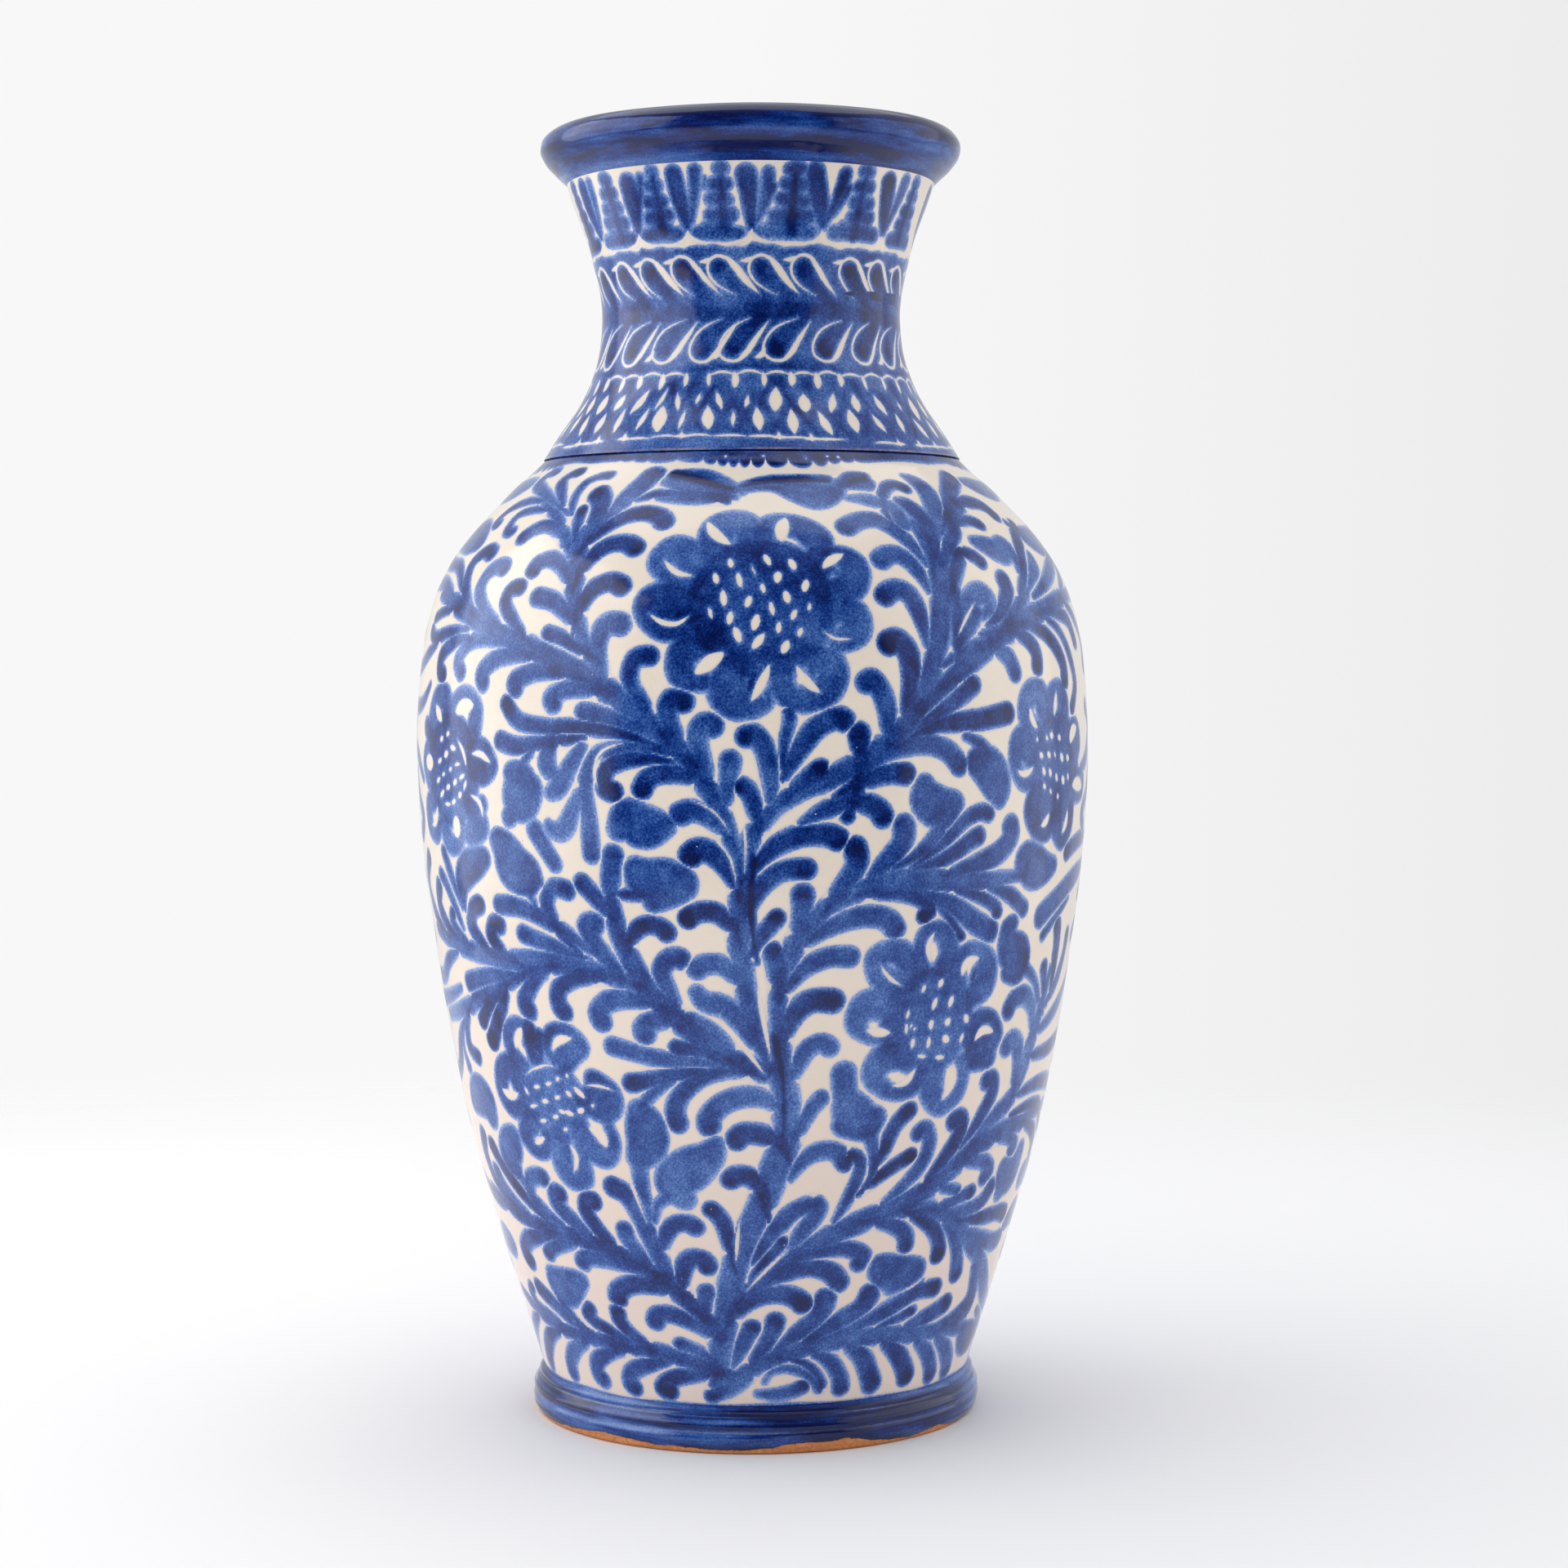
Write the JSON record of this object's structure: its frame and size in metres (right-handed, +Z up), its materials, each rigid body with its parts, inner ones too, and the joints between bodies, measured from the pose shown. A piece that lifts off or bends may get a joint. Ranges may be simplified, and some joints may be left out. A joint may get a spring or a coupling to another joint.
{
  "type": "painted pottery vase",
  "caption": "Tall baluster vase in glazed earthenware with a turned foot, flared neck and rolled lip, painted with blue flowers and leaves; it stands on its foot and holds stems or water.",
  "frame": {"origin": "centre of the flat ring that the foot stands on", "axes": "+Z up along the vase's own axis; the vase is turned about it, so X and Y are set only by the painting: the main flower faces -Y"},
  "size_m": [0.2105, 0.2106, 0.4],
  "materials": {
    "clay": "bare fired earthenware, orange terracotta, matt",
    "painted_glaze": "glossy ivory tin glaze painted with mottled cobalt blue",
    "cobalt_glaze": "glossy streaky cobalt blue glaze",
    "inner_glaze": "glossy plain ivory glaze"
  },
  "bodies": {
    "root": {"foot_ring": "clay", "body_wall": "clay", "neck_collar": "clay", "rolled_lip": "clay", "body_glaze": "painted_glaze", "neck_glaze": "painted_glaze", "foot_glaze": "cobalt_glaze", "lip_glaze": "cobalt_glaze", "lining_glaze": "inner_glaze"}
  },
  "joints": []
}
